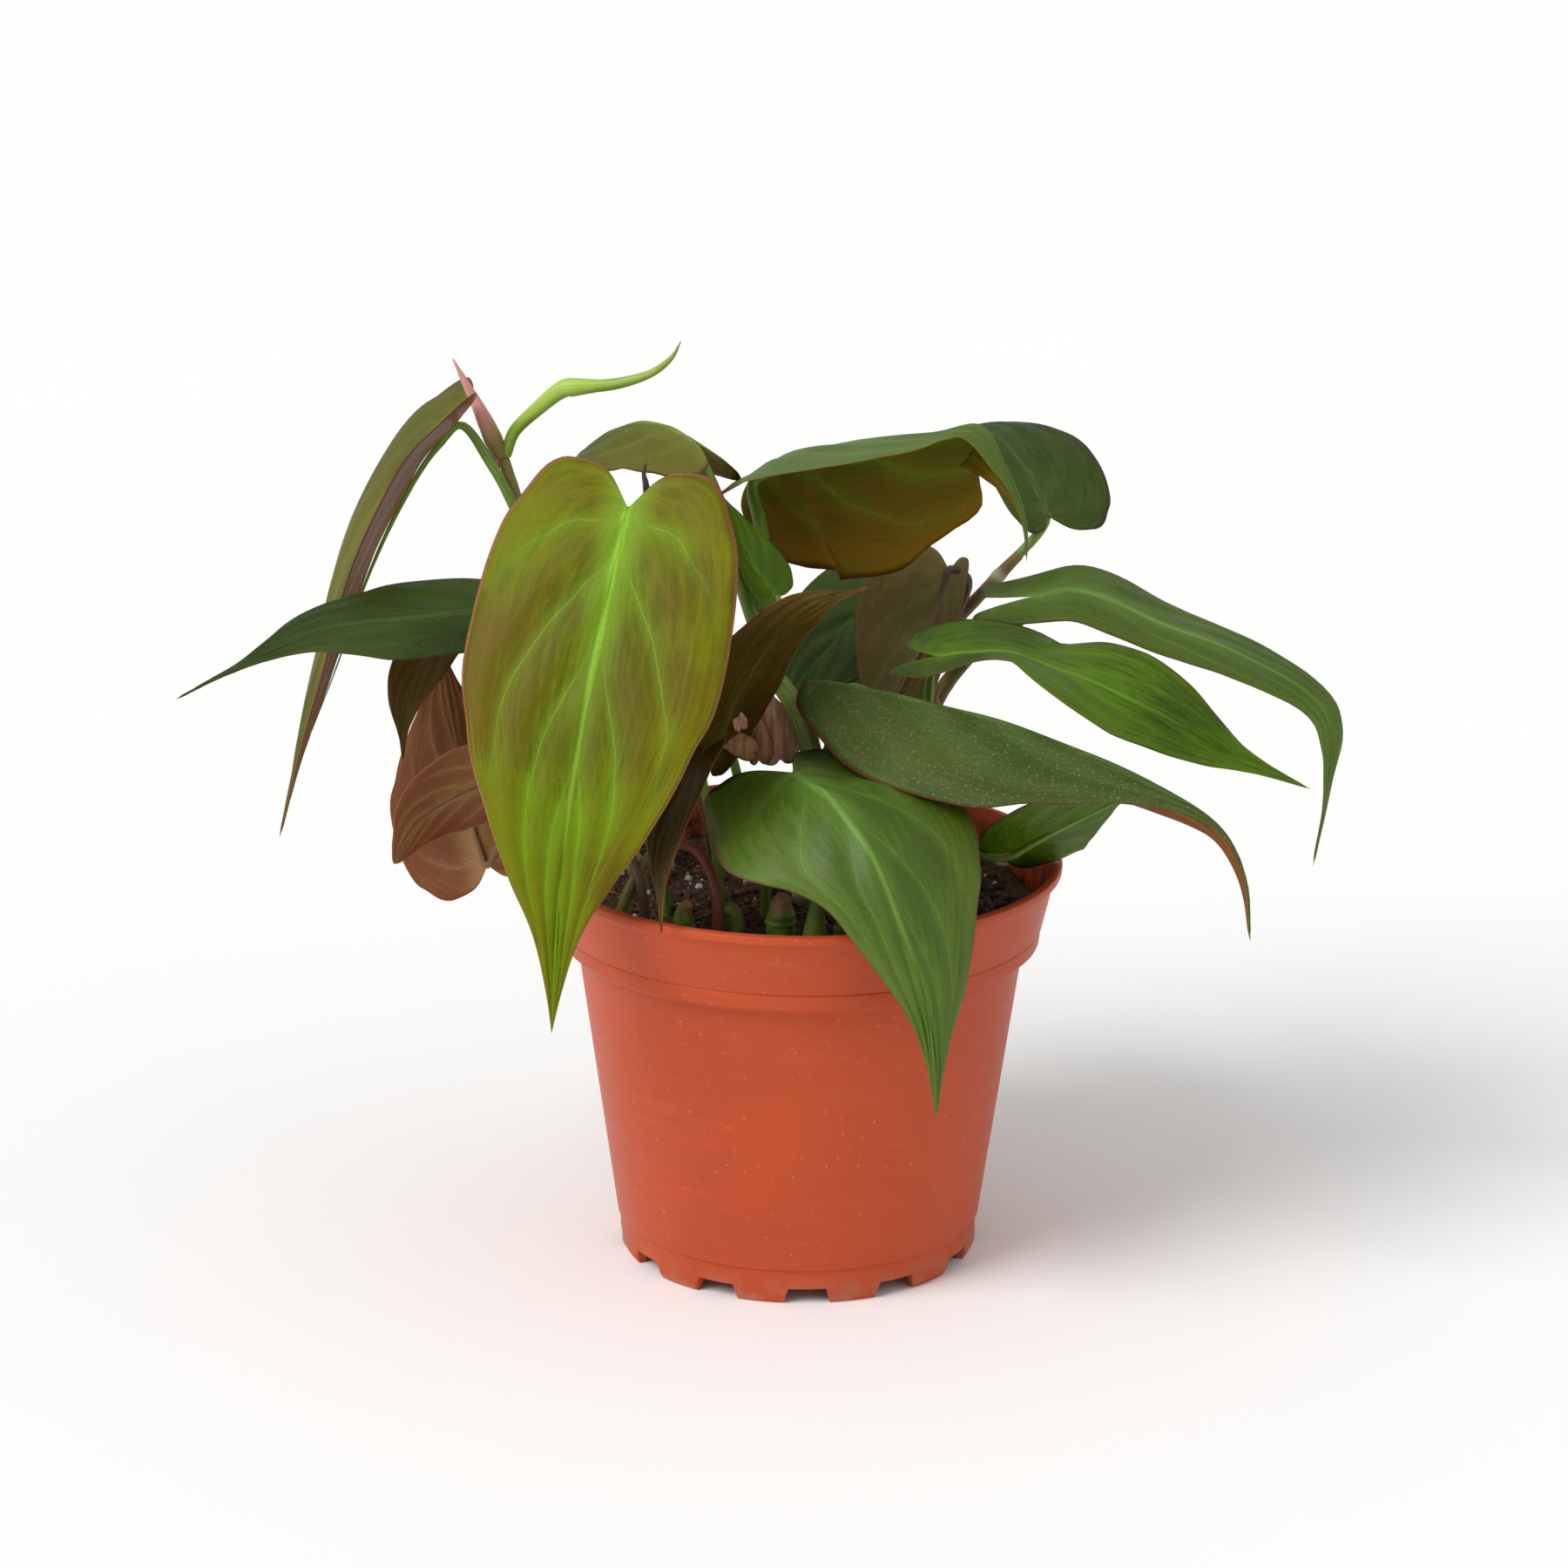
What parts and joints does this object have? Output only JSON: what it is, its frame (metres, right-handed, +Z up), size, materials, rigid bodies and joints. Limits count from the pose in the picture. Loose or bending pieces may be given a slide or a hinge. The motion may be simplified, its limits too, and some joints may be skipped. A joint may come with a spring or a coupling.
{
  "type": "potted philodendron",
  "caption": "Young trailing philodendron with heart-shaped leaves, rooted in soil in a round tapered nursery pot with a stepped rim band and notched feet.",
  "frame": {"origin": "middle of the bounding box in X and Y, on the plane that the pot's feet stand on", "axes": "+Z up, -Y to the front, +X to the right seen from the front"},
  "size_m": [0.241, 0.1446, 0.1933],
  "materials": {
    "terracotta_plastic": "satin moulded polypropylene, terracotta coloured",
    "potting_soil": "moist peat and bark mix with white perlite",
    "bronze_green_leaf": "velvety olive and bronze leaf with light green veins",
    "mid_green_leaf": "satin mid green leaf",
    "dark_green_leaf": "velvety dark green leaf",
    "bright_green_leaf": "satin young bright green leaf",
    "bronze_brown_leaf": "reddish brown leaf underside",
    "green_stem": "smooth light green stem",
    "brown_stem": "smooth reddish brown stem",
    "pink_sheath": "thin pink and pale green bud sheath"
  },
  "bodies": {
    "root": {"pot": "terracotta_plastic", "soil": "potting_soil", "stem_centre": "green_stem", "stem_right": "brown_stem", "stem_left": "brown_stem", "stem_back": "brown_stem", "stem_left_low": "green_stem", "petiole_front_heart": "green_stem", "blade_front_heart": "bronze_green_leaf", "petiole_front_low": "green_stem", "blade_front_low": "mid_green_leaf", "petiole_right_dark": "green_stem", "blade_right_dark": "dark_green_leaf", "petiole_right_bright": "green_stem", "blade_right_bright": "bright_green_leaf", "petiole_far_right": "green_stem", "blade_far_right": "mid_green_leaf", "petiole_back_right": "green_stem", "blade_back_right": "dark_green_leaf", "petiole_top": "green_stem", "blade_top": "dark_green_leaf", "petiole_top_left": "green_stem", "blade_top_left": "dark_green_leaf", "petiole_centre_edge": "green_stem", "blade_centre_edge": "dark_green_leaf", "petiole_centre_bronze": "brown_stem", "blade_centre_bronze": "bronze_brown_leaf", "petiole_hanging_dark": "green_stem", "blade_hanging_dark": "dark_green_leaf", "petiole_left_low": "green_stem", "blade_left_low": "dark_green_leaf", "petiole_left_tall": "green_stem", "blade_left_tall": "dark_green_leaf", "petiole_left_small": "brown_stem", "blade_left_small": "bronze_brown_leaf", "petiole_left_mauve": "brown_stem", "blade_left_mauve": "bronze_brown_leaf", "petiole_left_tongue": "brown_stem", "blade_left_tongue": "bronze_brown_leaf", "petiole_centre_grey": "brown_stem", "blade_centre_grey": "bronze_brown_leaf", "petiole_centre_dark": "green_stem", "blade_centre_dark": "dark_green_leaf", "petiole_right_low": "green_stem", "blade_right_low": "bright_green_leaf", "petiole_back_left": "green_stem", "blade_back_left": "dark_green_leaf", "petiole_back_mid": "green_stem", "blade_back_mid": "mid_green_leaf", "petiole_back_upper": "green_stem", "blade_back_upper": "bronze_green_leaf", "stub_front": "green_stem", "stub_left": "green_stem", "stub_right": "green_stem", "bud_sheath": "pink_sheath", "rolled_leaf": "bright_green_leaf", "air_root": "green_stem"}
  },
  "joints": []
}
